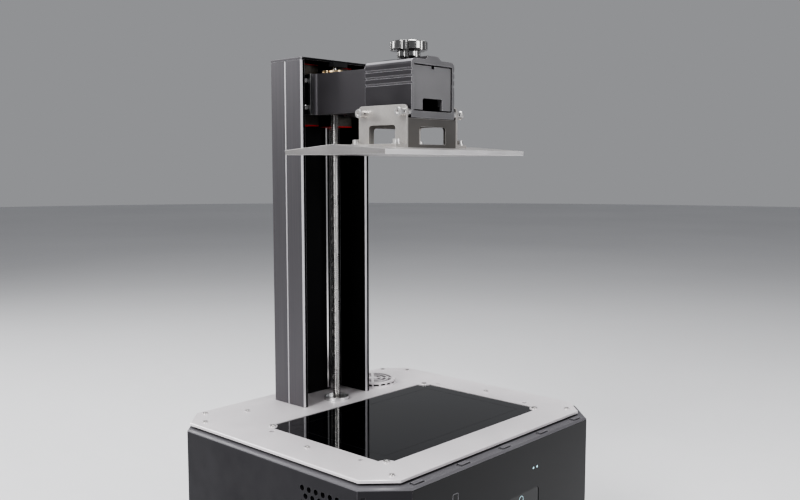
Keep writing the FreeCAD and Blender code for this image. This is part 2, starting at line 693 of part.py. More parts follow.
def arm_end_cap():
    """Cover over the arm's front end, with a window at the bottom and a notch at the top."""
    w = ARM_HALF_W - 0.2
    z0, z1 = ARM_Z[0] + 0.2, ARM_Z[1] - 0.2
    front, back = ARM_Y[0], ARM_Y[0] + END_CAP_T
    cap = box(-w, w, front, back, z0, z1)
    inset = ARM_WALL + 0.3
    plug = box(-w + inset, w - inset, back, back + 3, z0 + inset, z1 - inset)
    window = box(*END_WINDOW_X, front - 1, back + 4, z0 - 6, END_WINDOW_TOP)
    cap = cap.fuse(plug).cut(rounded(window, Vector(0, 1, 0), 2))
    return cap.cut(box(*END_NOTCH_X, front - 1, back + 4, z1 - 2.7, z1 + 1))


def limit_flag():
    x = -RAIL_X - BLOCK_W / 2
    return box(x - 1.1, x, 96, 104, BLOCK_Z[0] - 6, BLOCK_Z[0] + 14)


# ---- platform ---------------------------------------------------------------------------------

SOCKET_Z = (476.6, 519.2)
RIB_Z = (513.6, 507.2, 500.9)


def platform_housing():
    """Sleeve that slides over the arm from the front, ribbed along both sides, with a ridge on top."""
    z0, z1 = HOUSING_Z
    w = HOUSING_HALF_W
    sleeve = box(-w, w, *HOUSING_Y, z0, z1)
    upper = [e for e in sleeve.Edges if all(abs(v.Z - z1) < 1e-6 for v in e.Vertexes)
             and abs(e.Vertexes[0].Y - e.Vertexes[1].Y) > 10]
    sleeve = sleeve.makeFillet(5.5, upper)
    top = z1 + RIDGE_H
    outline = [(-11.5, z1 - 1), (-11.5, z1), (-6, top), (6, top), (11.5, z1), (11.5, z1 - 1)]
    ridge = prism_y(outline, *HOUSING_Y)
    sleeve = sleeve.fuse(ridge).removeSplitter()
    socket = rounded(box(-ARM_HALF_W - 0.4, ARM_HALF_W + 0.4, HOUSING_Y[0] - 1, HOUSING_Y[1] + 1, *SOCKET_Z),
                     Vector(0, 1, 0), 0.8)
    sleeve = sleeve.cut(socket)
    for z in RIB_Z:
        for side in (-1, 1):
            groove = [(side * (w + 1), z - 0.5), (side * (w - 1.5), z), (side * (w - 1.5), z + 0.9),
                      (side * (w + 1), z + 2.4)]
            sleeve = sleeve.cut(prism_y(groove, HOUSING_Y[0] - 1, HOUSING_Y[1] + 1))
    return sleeve.cut(rod(0, KNOB_Y, z1 - 8, z1 + 8, 4.06))


SIDE_SCREW_Y, SIDE_SCREW_Z = (-51.2, -0.8), 474.9
BRACKET_Y = (-54.2, 6.7)
FOOT_HALF_W, FOOT_T = 51.0, 4.0


def bracket_side():
    """Left wall: rounded corners at the top and a window with rounded top corners."""
    y0, y1 = BRACKET_Y
    z0, z1 = BRACKET_Z
    wall = box(-BRACKET_HALF_W, -BRACKET_HALF_W + BRACKET_T, y0, y1, z0, z1)
    top_corners = [e for e in wall.Edges if all(abs(v.Z - z1) < 1e-6 for v in e.Vertexes)
                   and abs(e.Vertexes[0].Y - e.Vertexes[1].Y) < 1e-6]
    wall = wall.makeFillet(4.0, top_corners)
    window = box(-60, -10, -40.6, -6.8, 430, 463.7)
    wall = wall.cut(rounded(window, Vector(1, 0, 0), 3.2))
    for y in SIDE_SCREW_Y:
        wall = wall.cut(rod_x(-60, -10, y, SIDE_SCREW_Z, 2.4))
    return wall


def bracket_end(y):
    """Wall across the front or the back."""
    inner = BRACKET_HALF_W - BRACKET_T
    wall = box(-inner, inner, y, y + BRACKET_T, BRACKET_Z[0], HOUSING_Z[0] - 0.6)
    window = rounded(box(-18.9, 18.9, y - 5, y + 8, 430, 462.1), Vector(0, 1, 0), 3.2)
    return wall.cut(window)


def platform_bracket():
    """Folded box bracket between the housing and the build plate, with feet to both sides."""
    y0, y1 = BRACKET_Y
    foot = box(-FOOT_HALF_W, FOOT_HALF_W, y0, y1, BRACKET_Z[0], BRACKET_Z[0] + FOOT_T)
    foot = foot.cut(box(-BRACKET_HALF_W + 12, BRACKET_HALF_W - 12, y0 + 12, y1 - 12, 430, 450))
    ends = [bracket_end(y0), bracket_end(y1 - BRACKET_T)]
    bracket = foot.fuse([bracket_side(), mirrored(bracket_side())] + ends)
    for x, y in foot_bolt_spots():
        bracket = bracket.cut(rod(x, y, 430, BRACKET_Z[0] + FOOT_T + 1, 2.2))
    return bracket.removeSplitter()


def foot_bolt_spots():
    return [(x, y) for x in (-45.5, 45.5) for y in (-50.0, 2.0)]


def side_screw(side, y):
    """Round-headed adjuster with a cross hole, threaded into the housing."""
    wall = -BRACKET_HALF_W
    head = rod_x(wall - 8.8, wall - 6.0, y, SIDE_SCREW_Z, 4.3)
    head = head.makeChamfer(0.6, [e for e in head.Edges if e.Closed])
    neck = rod_x(wall - 6.0, wall, y, SIDE_SCREW_Z, 3.6)
    collar = rod_x(wall + BRACKET_T, -HOUSING_HALF_W, y, SIDE_SCREW_Z, 3.6)
    stem = rod_x(wall, -HOUSING_HALF_W, y, SIDE_SCREW_Z, 2.4)
    screw = head.fuse([neck, collar, stem]).removeSplitter()
    screw = screw.cut(rod_y(wall - 3.0, y - 6, y + 6, SIDE_SCREW_Z, 0.9))
    screw = screw.cut(rod_x(wall - 9.8, wall - 6.8, y, SIDE_SCREW_Z, 2.0))
    return mirrored(screw) if side > 0 else screw


def platform_screws():
    pieces = [side_screw(side, y) for side in (-1, 1) for y in SIDE_SCREW_Y]
    for x, y in foot_bolt_spots():
        top = BRACKET_Z[0] + FOOT_T
        stem = rod(x, y, BRACKET_Z[0], top, 2.2)
        washer = rod(x, y, top, top + 0.8, 4.4)
        pieces.append(cap_screw(x, y, top + 0.8, 3.3, 3.8).fuse([stem, washer]))
    return group(pieces)


def build_plate():
    """Flat underneath, roofed above so that resin runs off, with a pocket for the bracket's foot."""
    w, y0, y1 = PRINT_HALF_W, PRINT_Y[0], PRINT_Y[1]
    middle = (y0 + y1) / 2
    z0 = PRINT_Z
    wire = Part.makePolygon([Vector(-w, y, z) for y, z in
                             [(y0, z0), (y1, z0), (y1, z0 + PRINT_EDGE), (middle, z0 + PRINT_RIDGE),
                              (y0, z0 + PRINT_EDGE), (y0, z0)]])
    plate = Part.Face(wire).extrude(Vector(2 * w, 0, 0))
    half = FOOT_HALF_W + 0.4
    pocket = box(-half, half, BRACKET_Y[0] - 0.4, BRACKET_Y[1] + 0.4, BRACKET_Z[0], z0 + 20)
    return plate.cut(pocket)


def lobed(radius, lobes, notch_r, z0, z1):
    """Round grip with scallops between its lobes."""
    grip = rod(0, KNOB_Y, z0, z1, radius)
    rims = [e for e in grip.Edges if e.Closed]
    grip = grip.makeChamfer(0.9, rims)
    for turn in range(lobes):
        angle = 2 * math.pi * (turn + 0.5) / lobes
        x, y = radius * 1.08 * math.cos(angle), KNOB_Y + radius * 1.08 * math.sin(angle)
        grip = grip.cut(rod(x, y, z0 - 1, z1 + 1, notch_r))
    return grip


KNOB_Z = (528.6, 535.0, 543.5)


def clamp_knob():
    z0, z1, z2 = KNOB_Z
    collar = lobed(11.2, 6, 3.0, z0, z1)
    grip = lobed(18.0, 6, 4.6, z1, z2)
    grip = grip.cut(rod(0, KNOB_Y, z2 - 1.2, z2 + 1, 9.5))
    stud = rod(0, KNOB_Y, ARM_Z[1] + 0.3, z0 + 2, 4.0)
    return grip.fuse([collar, stud]).removeSplitter()


NODES = {
    "rubber_feet": rubber_feet,
    "bottom_cover": bottom_cover,
    "left_side_panel": left_side_panel,
    "right_side_panel": right_side_panel,
    "rear_panel": rear_panel,
    "front_panel": front_panel,
    "corner_panels": corner_panels,
    "upper_rim": upper_rim,
    "ledge_clips": ledge_clips,
    "indicator_lights": indicator_lights,
    "touch_display": touch_display,
    "top_plate": top_plate,
    "plate_gasket": plate_gasket,
    "plate_screws": plate_screws,
    "air_grille": air_grille,
    "screen_glass": screen_glass,
    "lcd_panel": lcd_panel,
    "collimating_lens": collimating_lens,
    "light_reflector": light_reflector,
    "led_board": led_board,
    "heatsink": heatsink,
    "cooling_fan_frame": lambda: fan_frame(0, ENGINE_Y, FAN_SIZE, *FAN_Z),
    "cooling_fan_rotor": lambda: fan_rotor(0, ENGINE_Y, FAN_SIZE, *FAN_Z),
    "exhaust_fan_frame": lambda: fan_frame(EXHAUST_X, EXHAUST_Y, EXHAUST_SIZE, *EXHAUST_Z),
    "exhaust_fan_rotor": lambda: fan_rotor(EXHAUST_X, EXHAUST_Y, EXHAUST_SIZE, *EXHAUST_Z),
    "carbon_filter": carbon_filter,
    "mainboard": mainboard,
    "power_supply": power_supply,
    "power_inlet": power_inlet,
    "switch_rocker": switch_rocker,
    "usb_port": usb_port,
    "column_frame": column_frame,
    "column_rear_cover": column_rear_cover,
    "column_top_cap": column_top_cap,
    "left_rail": lambda: rail(-RAIL_X),
    "right_rail": lambda: rail(RAIL_X),
    "rail_screws": rail_screws,
    "z_motor": z_motor,
    "motor_bracket": motor_bracket,
    "screw_flange": screw_flange,
    "top_bearing": top_bearing,
    "limit_sensor": limit_sensor,
    "lead_screw": lead_screw,
    "shaft_coupler": shaft_coupler,
    "left_guide_block": lambda: guide_block(-RAIL_X),
    "right_guide_block": lambda: guide_block(RAIL_X),
    "guide_end_seals": guide_end_seals,
    "carriage_plate": carriage_plate,
    "carriage_screws": carriage_screws,
    "nut_block": nut_block,
    "lead_nut": lead_nut,
    "cantilever_arm": cantilever_arm,
    "arm_mount_plates": arm_mount_plates,
    "arm_end_cap": arm_end_cap,
    "limit_flag": limit_flag,
    "platform_housing": platform_housing,
    "platform_bracket": platform_bracket,
    "platform_screws": platform_screws,
    "build_plate": build_plate,
    "clamp_knob": clamp_knob,
}

os.makedirs("parts", exist_ok=True)
for node, make in NODES.items():
    shape = make()
    if not shape.isValid():
        print("not valid:", node)
    shape.exportStep(f"parts/{node}.step")
    print(f"{node}: {len(shape.Solids)} solids, {shape.Volume / 1000:.1f} cm3")
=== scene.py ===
"""Looks of the resin printer: finishes, the screw's thread, display marks, floor, light and camera.

Metres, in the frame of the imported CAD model: origin on the table, +Z up, the front faces -Y.
"""
import bpy
import bmesh
import json
import math

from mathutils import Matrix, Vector


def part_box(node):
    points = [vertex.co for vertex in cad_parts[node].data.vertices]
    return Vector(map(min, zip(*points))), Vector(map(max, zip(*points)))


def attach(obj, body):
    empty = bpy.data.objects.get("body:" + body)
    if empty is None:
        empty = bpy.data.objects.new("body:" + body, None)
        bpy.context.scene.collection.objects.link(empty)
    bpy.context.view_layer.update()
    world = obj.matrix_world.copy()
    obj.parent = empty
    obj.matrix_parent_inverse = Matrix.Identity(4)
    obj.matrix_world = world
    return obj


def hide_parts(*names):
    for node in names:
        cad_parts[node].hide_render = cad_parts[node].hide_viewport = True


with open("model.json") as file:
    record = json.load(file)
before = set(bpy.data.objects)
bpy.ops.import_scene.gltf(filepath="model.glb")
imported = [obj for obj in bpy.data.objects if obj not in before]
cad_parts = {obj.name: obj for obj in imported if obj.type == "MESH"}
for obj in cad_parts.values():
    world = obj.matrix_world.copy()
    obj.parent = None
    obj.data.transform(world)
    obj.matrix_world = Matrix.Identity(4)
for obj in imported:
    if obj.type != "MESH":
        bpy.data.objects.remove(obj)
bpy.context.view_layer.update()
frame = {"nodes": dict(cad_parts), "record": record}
NODES = frame["nodes"]
MM = 0.001

# painted highlight along edges: width of the lighter line in metres, and its strength
EDGE_HIGHLIGHT_WIDTH, EDGE_HIGHLIGHT_STRENGTH = 0.0006, 0.8
# how squarely a face has to look along a direction before it takes the painted highlight of the chamfers
CHAMFER_START, CHAMFER_FULL = 0.93, 0.98
# how far a printed mark goes into its face, and stands off it, in metres
PRINT_UNDER, PRINT_OVER = -0.00002, 0.00006


# ---- node helpers -----------------------------------------------------------------------------

class Finish:
    """A material that is built up in layers on one Principled shader."""

    def __init__(self, name, metallic=0.0, ior=1.5, coat=0.0, coat_rough=0.1, specular=0.5):
        self.material = bpy.data.materials.new(name)
        self.material.use_nodes = True
        self.nodes = self.material.node_tree.nodes
        self.links = self.material.node_tree.links
        self.shader = self.nodes["Principled BSDF"]
        self.shader.inputs["Metallic"].default_value = metallic
        self.shader.inputs["IOR"].default_value = ior
        self.shader.inputs["Specular IOR Level"].default_value = specular
        self.shader.inputs["Coat Weight"].default_value = coat
        self.shader.inputs["Coat Roughness"].default_value = coat_rough
        self.place = self.nodes.new("ShaderNodeTexCoord").outputs["Object"]
        self.height = None

    def noise(self, scale, detail=3.0, stretch=(1, 1, 1)):
        """Noise from 0 to 1; scale is in features per metre, stretch below 1 draws it out."""
        mapping = self.nodes.new("ShaderNodeMapping")
        mapping.inputs["Scale"].default_value = stretch
        texture = self.nodes.new("ShaderNodeTexNoise")
        texture.inputs["Scale"].default_value = scale
        texture.inputs["Detail"].default_value = detail
        self.links.new(self.place, mapping.inputs["Vector"])
        self.links.new(mapping.outputs["Vector"], texture.inputs["Vector"])
        return texture.outputs["Fac"]

    def spread(self, value, low, high, from_low=0.3, from_high=0.7):
        """Maps the middle of a noise onto a range."""
        node = self.nodes.new("ShaderNodeMapRange")
        node.inputs["From Min"].default_value = from_low
        node.inputs["From Max"].default_value = from_high
        node.inputs["To Min"].default_value = low
        node.inputs["To Max"].default_value = high
        self.links.new(value, node.inputs["Value"])
        return node.outputs["Result"]

    def tones(self, value, dark, light):
        """Base colour between two tones."""
        ramp = self.nodes.new("ShaderNodeValToRGB")
        ramp.color_ramp.elements[0].position = 0.3
        ramp.color_ramp.elements[0].color = (*dark, 1)
        ramp.color_ramp.elements[1].position = 0.7
        ramp.color_ramp.elements[1].color = (*light, 1)
        self.links.new(value, ramp.inputs["Fac"])
        self.links.new(ramp.outputs["Color"], self.shader.inputs["Base Color"])
        self.colour = ramp.outputs["Color"]

    def edges(self, radius, tone, strength=1.0):
        """Painted highlight: lighter tone along edges, where light catches them."""
        bevel = self.nodes.new("ShaderNodeBevel")
        bevel.inputs["Radius"].default_value = radius
        bevel.samples = 4
        normal = self.nodes.new("ShaderNodeNewGeometry").outputs["Normal"]
        dot = self.nodes.new("ShaderNodeVectorMath")
        dot.operation = "DOT_PRODUCT"
        self.links.new(bevel.outputs["Normal"], dot.inputs[0])
        self.links.new(normal, dot.inputs[1])
        self.blend(self.spread(dot.outputs["Value"], strength, 0.0, 0.86, 0.99), tone)

    def blend(self, mask, tone):
        """Goes over to a tone where the mask is 1."""
        mix = self.nodes.new("ShaderNodeMix")
        mix.data_type = "RGBA"
        mix.inputs["B"].default_value = (*tone, 1)
        self.links.new(mask, mix.inputs["Factor"])
        self.links.new(self.colour, mix.inputs["A"])
        self.links.new(mix.outputs["Result"], self.shader.inputs["Base Color"])
        self.colour = mix.outputs["Result"]

    def painted_light_facing(self, direction, tone, start=0.45, full=0.8):
        """Painted light: another tone on the faces that look along a direction of the part."""
        dot = self.nodes.new("ShaderNodeVectorMath")
        dot.operation = "DOT_PRODUCT"
        dot.inputs[1].default_value = direction
        self.links.new(self.nodes.new("ShaderNodeTexCoord").outputs["Normal"], dot.inputs[0])
        self.blend(self.spread(dot.outputs["Value"], 0.0, 1.0, start, full), tone)

    def inside(self, half_width, back, tone):
        """Another tone between two upright planes left and right of the middle, in front of a third."""
        parts = self.nodes.new("ShaderNodeSeparateXYZ")
        self.links.new(self.place, parts.inputs["Vector"])
        distance = self.nodes.new("ShaderNodeMath")
        distance.operation = "ABSOLUTE"
        self.links.new(parts.outputs["X"], distance.inputs[0])
        across = self.spread(distance.outputs["Value"], 1.0, 0.0, half_width - 0.0002, half_width)
        depth = self.spread(parts.outputs["Y"], 1.0, 0.0, back - 0.0002, back)
        both = self.nodes.new("ShaderNodeMath")
        both.operation = "MULTIPLY"
        self.links.new(across, both.inputs[0])
        self.links.new(depth, both.inputs[1])
        self.blend(both.outputs["Value"], tone)

    def rough(self, value, low, high):
        self.links.new(self.spread(value, low, high), self.shader.inputs["Roughness"])

    def bump(self, value, depth, strength=0.5):
        """Relief of a real depth in metres; several calls stack."""
        node = self.nodes.new("ShaderNodeBump")
        node.inputs["Distance"].default_value = depth
        node.inputs["Strength"].default_value = strength
        self.links.new(value, node.inputs["Height"])
        if self.height:
            self.links.new(self.height, node.inputs["Normal"])
        self.height = node.outputs["Normal"]
        self.links.new(self.height, self.shader.inputs["Normal"])


def painted(name, dark, light, rough, grain=2600, depth=0.00004, edge=None, **shader):
    """Powder coat or moulded plastic: fine even grain, faint cloudy tone."""
    finish = Finish(name, **shader)
    finish.tones(finish.noise(9), dark, light)
    # painted highlight along the edges
    if edge:
        finish.edges(EDGE_HIGHLIGHT_WIDTH, edge, EDGE_HIGHLIGHT_STRENGTH)
    finish.rough(finish.noise(60, 4), *rough)
    finish.bump(finish.noise(grain, 2), depth)
    finish.bump(finish.noise(25, 2), depth * 2, 0.15)
    return finish.material


def brushed(name, dark, light, rough, stretch, edge=None, depth=0.00003, lines=1500,
            inside=None, chamfer_highlights=(), **shader):
    """Metal with fine lines drawn out along the directions whose stretch is small."""
    finish = Finish(name, metallic=shader.pop("metallic", 1.0), **shader)
    drawn = finish.noise(lines, 5, stretch)
    finish.tones(finish.noise(lines * 0.35, 4, stretch), dark, light)
    if inside:
        finish.inside(*inside)
    # painted highlight on the chamfers that look along each direction
    for direction, tone in chamfer_highlights:
        finish.painted_light_facing(direction, tone, CHAMFER_START, CHAMFER_FULL)
    # painted highlight along the edges
    if edge:
        finish.edges(EDGE_HIGHLIGHT_WIDTH, edge, EDGE_HIGHLIGHT_STRENGTH)
    finish.rough(drawn, *rough)
    finish.bump(drawn, depth)
    return finish.material


def blasted(name, dark, light, rough, edge=None, grain=5200, depth=0.00003, painted_light_facing=(), chamfer_highlights=(),
            inside=None, **shader):
    """Bead-blasted or anodised metal: speckle and a soft cloudy sheen."""
    finish = Finish(name, metallic=shader.pop("metallic", 1.0), **shader)
    finish.tones(finish.noise(grain * 0.5, 3), dark, light)
    if inside:
        finish.inside(*inside)
    # painted light on the faces that look along each direction
    for direction, tone in painted_light_facing:
        finish.painted_light_facing(direction, tone)
    # painted highlight on the chamfers that look along each direction
    for direction, tone in chamfer_highlights:
        finish.painted_light_facing(direction, tone, CHAMFER_START, CHAMFER_FULL)
    # painted highlight along the edges
    if edge:
        finish.edges(EDGE_HIGHLIGHT_WIDTH, edge, EDGE_HIGHLIGHT_STRENGTH)
    finish.rough(finish.noise(35, 5), *rough)
    finish.bump(finish.noise(grain, 2), depth)
    return finish.material


def glossy(name, dark, light, rough, tint_scale=12, **shader):
    """Glass or polished plastic with the faint smears of handling."""
    finish = Finish(name, **shader)
    finish.tones(finish.noise(tint_scale), dark, light)
    finish.rough(finish.noise(18, 6, (1, 0.35, 1)), *rough)
    finish.bump(finish.noise(7, 1), 0.0002, 0.02)
    return finish.material


def glowing(name, colour, strength):
    """Lit mark behind glass; its brightness varies a little."""
    finish = Finish(name)
    finish.tones(finish.noise(900), tuple(c * 0.8 for c in colour), colour)
    finish.rough(finish.noise(400), 0.25, 0.4)
    finish.links.new(finish.colour, finish.shader.inputs["Emission Color"])
    finish.shader.inputs["Emission Strength"].default_value = strength
    return finish.material


# ---- materials, one for each finish -----------------------------------------------------------

UPRIGHT = (1, 1, 0.012)
ALONG_Y = (1, 0.012, 1)
FORWARD, DOWN = (0, -1, 0), (0, 0, -1)
FRONT_LEFT, FRONT_RIGHT = (-0.7071, -0.7071, 0), (0.7071, -0.7071, 0)
UP_LEFT, UP_RIGHT = (-0.7071, 0, 0.7071), (0.7071, 0, 0.7071)

# edge= gives the tone of a painted highlight along the edges of a finish
MATERIALS = {
    "foot_rubber": painted("foot_rubber", (0.012, 0.012, 0.013), (0.02, 0.02, 0.021), (0.7, 0.85), 1500),
    "shell_grey": painted("shell_grey", (0.020, 0.019, 0.022), (0.029, 0.028, 0.032), (0.40, 0.52),
                          edge=(0.13, 0.125, 0.135), specular=0.3),
    "front_gloss": glossy("front_gloss", (0.0015, 0.0015, 0.002), (0.003, 0.003, 0.004), (0.05, 0.12),
                          specular=0.3, coat=0.3, coat_rough=0.04),
    "rim_grey": painted("rim_grey", (0.10, 0.097, 0.105), (0.13, 0.127, 0.135), (0.36, 0.48),
                        edge=(0.40, 0.39, 0.41)),
    "top_silver": blasted("top_silver", (0.68, 0.65, 0.665), (0.76, 0.73, 0.745), (0.36, 0.46),
                          metallic=0.35, edge=(0.95, 0.93, 0.94), grain=3800),
    "seal_black": painted("seal_black", (0.012, 0.012, 0.012), (0.022, 0.022, 0.022), (0.6, 0.75), 900),
    "screw_steel": brushed("screw_steel", (0.60, 0.59, 0.58), (0.72, 0.71, 0.70), (0.30, 0.40), (1, 1, 1),
                           lines=900),
    "screen_black": glossy("screen_black", (0.001, 0.001, 0.0015), (0.003, 0.003, 0.004), (0.02, 0.08),
                           specular=0.4, coat=0.5, coat_rough=0.02),
    "light_white": glowing("light_white", (0.45, 0.68, 0.75), 0.8),
    "lens_clear": glossy("lens_clear", (0.55, 0.6, 0.62), (0.7, 0.74, 0.76), (0.05, 0.12)),
    "reflector_bright": brushed("reflector_bright", (0.8, 0.8, 0.8), (0.93, 0.93, 0.93), (0.08, 0.16),
                                UPRIGHT),
    "board_green": painted("board_green", (0.01, 0.07, 0.03), (0.02, 0.11, 0.05), (0.3, 0.45), 700),
    "bare_aluminium": brushed("bare_aluminium", (0.6, 0.6, 0.6), (0.78, 0.78, 0.78), (0.3, 0.42), UPRIGHT),
    "fan_black": painted("fan_black", (0.014, 0.014, 0.015), (0.024, 0.024, 0.026), (0.35, 0.5), 1200),
    "filter_foam": painted("filter_foam", (0.01, 0.01, 0.01), (0.03, 0.03, 0.03), (0.85, 0.95), 600, 0.0006),
    "supply_steel": brushed("supply_steel", (0.5, 0.5, 0.5), (0.64, 0.64, 0.64), (0.3, 0.45), ALONG_Y),
    # column_grey: painted highlight on the front chamfers of the walls, left and right
    "column_grey": brushed("column_grey", (0.125, 0.12, 0.128), (0.140, 0.135, 0.143), (0.38, 0.48), UPRIGHT,
                           edge=(0.70, 0.69, 0.71), metallic=0.7, depth=0.00001,
                           inside=(0.0464, 0.1207, (0.010, 0.010, 0.011)),
                           chamfer_highlights=((FRONT_LEFT, (0.6, 0.59, 0.61)), (FRONT_RIGHT, (0.6, 0.59, 0.61)))),
    "rail_steel": brushed("rail_steel", (0.78, 0.77, 0.76), (0.92, 0.91, 0.9), (0.12, 0.24), UPRIGHT),
    "motor_black": painted("motor_black", (0.015, 0.015, 0.016), (0.025, 0.025, 0.027), (0.35, 0.5)),
    "block_grey": brushed("block_grey", (0.10, 0.093, 0.085), (0.14, 0.132, 0.122), (0.3, 0.42), (1, 1, 1),
                          lines=1200),
    "seal_red": painted("seal_red", (0.42, 0.012, 0.014), (0.6, 0.02, 0.022), (0.35, 0.5), 1500),
    "carriage_black": painted("carriage_black", (0.008, 0.008, 0.009), (0.014, 0.014, 0.016), (0.35, 0.5)),
    "nut_brass": brushed("nut_brass", (0.80, 0.62, 0.38), (0.90, 0.74, 0.50), (0.2, 0.32), (1, 1, 1),
                         lines=700),
    "arm_grey": blasted("arm_grey", (0.075, 0.071, 0.077), (0.092, 0.088, 0.094), (0.36, 0.48), metallic=0.6,
                        edge=(0.2, 0.195, 0.2)),
    "cap_grey": painted("cap_grey", (0.22, 0.216, 0.222), (0.26, 0.256, 0.262), (0.34, 0.46),
                        edge=(0.55, 0.54, 0.55), metallic=0.4),
    # housing_grey: painted light on faces that look forward, painted reflection on faces that look down,
    # painted highlight on the upper rounded edges
    "housing_grey": blasted("housing_grey", (0.070, 0.067, 0.072), (0.084, 0.080, 0.086), (0.30, 0.42),
                            metallic=0.7, edge=(0.70, 0.69, 0.71),
                            painted_light_facing=((FORWARD, (0.27, 0.265, 0.272)), (DOWN, (0.55, 0.54, 0.56))),
                            chamfer_highlights=((UP_LEFT, (0.55, 0.54, 0.56)), (UP_RIGHT, (0.55, 0.54, 0.56)))),
    # bracket_silver: painted shade, a darker tone on the front wall between the side walls
    "bracket_silver": blasted("bracket_silver", (0.60, 0.575, 0.55), (0.645, 0.62, 0.595), (0.3, 0.38),
                              edge=(0.95, 0.93, 0.9), metallic=0.85, grain=900, depth=0.00001,
                              inside=(0.0345, -0.050, (0.22, 0.21, 0.20))),
    # plate_silver: painted highlight, a lighter tone on the faces that look forward
    "plate_silver": blasted("plate_silver", (0.40, 0.385, 0.38), (0.46, 0.445, 0.44), (0.30, 0.40),
                            edge=(0.97, 0.96, 0.96), metallic=0.8, grain=3000,
                            painted_light_facing=((FORWARD, (0.88, 0.86, 0.86)),)),
    "knob_metal": brushed("knob_metal", (0.32, 0.315, 0.31), (0.39, 0.385, 0.38), (0.14, 0.22), UPRIGHT,
                          lines=600, depth=0.000006),
}


def paint(thing, material):
    thing.data.materials.clear()
    thing.data.materials.append(material)


def paint_frame():
    """Each CAD node gets the finish that the record names for it."""
    for part in frame["record"]["subparts"]:
        paint(NODES[part["node"]], MATERIALS[part["material_slot"]])


# ---- softened edges ---------------------------------------------------------------------------

SOFT_EDGES = {
    0.8: ["column_frame", "column_rear_cover", "column_top_cap", "top_plate"],
    0.6: ["left_side_panel", "right_side_panel", "rear_panel", "front_panel", "corner_panels", "upper_rim",
          "build_plate", "cantilever_arm", "platform_bracket", "arm_end_cap", "power_inlet"],
    0.5: ["platform_housing", "clamp_knob", "carriage_plate", "arm_mount_plates", "nut_block",
          "motor_bracket"],
    0.35: ["platform_screws", "left_guide_block", "right_guide_block", "lead_nut", "screw_flange",
           "top_bearing", "air_grille", "switch_rocker", "usb_port", "bottom_cover", "rubber_feet"],
}


def soften(node, width):
    """Rounds the node's sharp edges by modifiers, so the CAD mesh itself stays as it is.

    The build plate's roof is nearly flat, so its ridge counts as sharp from a smaller angle.
    """
    weld = node.modifiers.new("weld", "WELD")
    weld.merge_threshold = 0.000004
    planar = node.modifiers.new("planar", "DECIMATE")
    planar.decimate_type = "DISSOLVE"
    planar.angle_limit = math.radians(0.6)
    bevel = node.modifiers.new("bevel", "BEVEL")
    bevel.width = width * MM * 0.5
    bevel.segments = 2
    bevel.limit_method = "ANGLE"
    bevel.angle_limit = math.radians(3 if node == NODES["build_plate"] else 34)
    bevel.use_clamp_overlap = True
    normals = node.modifiers.new("normals", "WEIGHTED_NORMAL")
    normals.keep_sharp = False


# ---- pieces made here -------------------------------------------------------------------------

def new_piece(name, bm, material, body):
    mesh = bpy.data.meshes.new(name)
    bm.to_mesh(mesh)
    bm.free()
    piece = bpy.data.objects.new(name, mesh)
    bpy.context.scene.collection.objects.link(piece)
    paint(piece, MATERIALS[material])
    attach(piece, body)
    return piece


def lead_screw_thread():
    """Two-start trapezoid thread: 4 mm lead, so the ridges are 2 mm apart."""
    low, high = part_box("lead_screw")
    axis_x, axis_y = (low[0] + high[0]) / 2, (low[1] + high[1]) / 2
    crest = (high[0] - low[0]) / 2
    root = crest - 1.1 * MM
    journal = 3.0 * MM
    journal_z = high[2] - 4.4 * MM
    lead, starts, around = 4.0 * MM, 2, 44
    profile = [(0.0, root), (0.17, root), (0.36, crest), (0.64, crest), (0.83, root)]
    bm = bmesh.new()
    step = lead / starts
    rings = []
    rows = int((journal_z - low[2]) / step) - 1
    for row in range(rows):
        for fraction, radius in profile:
            ring = []
            for spoke in range(around):
                angle = 2 * math.pi * spoke / around
                z = low[2] + (row + fraction) * step + lead * spoke / around
                z = min(max(z, low[2]), journal_z)
                ring.append(bm.verts.new((axis_x + radius * math.cos(angle),
                                          axis_y + radius * math.sin(angle), z)))
            rings.append(ring)
    for lower, upper in zip(rings, rings[1:]):
        for spoke in range(around - 1):
            bm.faces.new((lower[spoke], lower[spoke + 1], upper[spoke + 1], upper[spoke]))
    jump = len(profile) * starts
    for index in range(len(rings) - jump - 1):
        first, last = rings[index + jump], rings[index]
        upper_first, upper_last = rings[index + jump + 1], rings[index + 1]
        bm.faces.new((last[-1], first[0], upper_first[0], upper_last[-1]))
    tip = 0.5 * MM
    foot_steps = [(root, low[2]), (root, low[2] + 6 * MM)]
    head_steps = [(root, journal_z - 7 * MM), (root, journal_z), (journal, journal_z),
                  (journal, high[2] - tip), (journal - tip, high[2])]
    collar_rows(bm, (axis_x, axis_y), foot_steps, around)
    collar_rows(bm, (axis_x, axis_y), head_steps, around)
    for face in bm.faces:
        face.smooth = True
    piece = new_piece("lead_screw_thread", bm, "rail_steel", "screw")
    paint(piece, blasted("rail_steel_turned", (0.60, 0.59, 0.58), (0.72, 0.71, 0.70), (0.22, 0.32),
                         grain=3000, depth=0.000005))
    split_sharp(piece, 40)
    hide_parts("lead_screw")


def collar_rows(bm, centre, steps, around):
    """Closed turned shape: radii and heights from the bottom up."""
    rings = []
    for radius, z in steps:
        ring = []
        for spoke in range(around):
            angle = 2 * math.pi * spoke / around
            ring.append(bm.verts.new((centre[0] + radius * math.cos(angle),
                                      centre[1] + radius * math.sin(angle), z)))
        rings.append(ring)
    for lower, upper in zip(rings, rings[1:]):
        for spoke in range(around):
            after = (spoke + 1) % around
            bm.faces.new((lower[spoke], lower[after], upper[after], upper[spoke]))
    bm.faces.new(list(reversed(rings[0])))
    bm.faces.new(rings[-1])


def split_sharp(piece, degrees):
    """Keeps edges above an angle crisp under smooth shading."""
    bm = bmesh.new()
    bm.from_mesh(piece.data)
    for edge in bm.edges:
        if len(edge.link_faces) == 2 and edge.calc_face_angle(0) > math.radians(degrees):
            edge.smooth = False
    bm.to_mesh(piece.data)
    bm.free()


